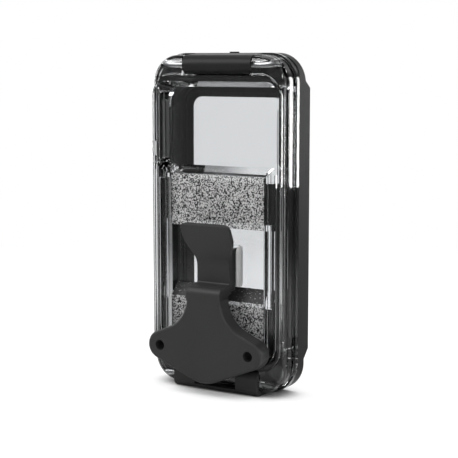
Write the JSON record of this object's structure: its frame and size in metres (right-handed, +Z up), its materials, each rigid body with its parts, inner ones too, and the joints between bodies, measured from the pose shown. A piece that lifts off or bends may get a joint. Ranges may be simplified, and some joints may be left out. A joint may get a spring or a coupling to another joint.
{
  "type": "waterproof phone case",
  "caption": "Hard waterproof case for a slim touch-screen device: a clear back shell hinged to a sealed black front frame, with a bottom latch and a hook-on mounting clip.",
  "frame": {"origin": "on the flat underside of the latch that the closed case stands on, below the seam between shell and frame", "axes": "+Z up towards the hinge, +Y out of the screen side, +X to the right as seen from the clear back"},
  "size_m": [0.0746, 0.0364, 0.1616],
  "materials": {
    "clear_plastic": "clear, polished, with stippled panels",
    "pin_steel": "plain drawn steel",
    "frame_plastic": "satin moulded",
    "touch_film": "clear film",
    "liner_rubber": "matt moulded rubber",
    "seal_rubber": "matt moulded rubber",
    "clip_plastic": "satin moulded"
  },
  "bodies": {
    "shell": {"back_shell": "clear_plastic", "hinge_pin": "pin_steel", "latch_pin": "pin_steel", "back_cushion": "liner_rubber"},
    "frame": {"front_frame": "frame_plastic", "screen_membrane": "touch_film", "pocket_liner": "liner_rubber", "main_seal": "seal_rubber"},
    "latch": {"latch": "clip_plastic"},
    "clip": {"mounting_clip": "clip_plastic"}
  },
  "joints": [
    {"name": "frame_hinge", "type": "hinge", "parent": "shell", "child": "frame", "pos_m": [0, -0.0087, 0.1555], "axis": [1, 0, 0], "range_deg": [0, 105]},
    {"name": "latch_hinge", "type": "hinge", "parent": "shell", "child": "latch", "pos_m": [0, -0.0087, 0.0057], "axis": [-1, 0, 0], "range_deg": [0, 90]},
    {"name": "clip_slide", "type": "slide", "parent": "shell", "child": "clip", "axis": [0, 0, 1], "range_m": [0, 0.0055]}
  ]
}
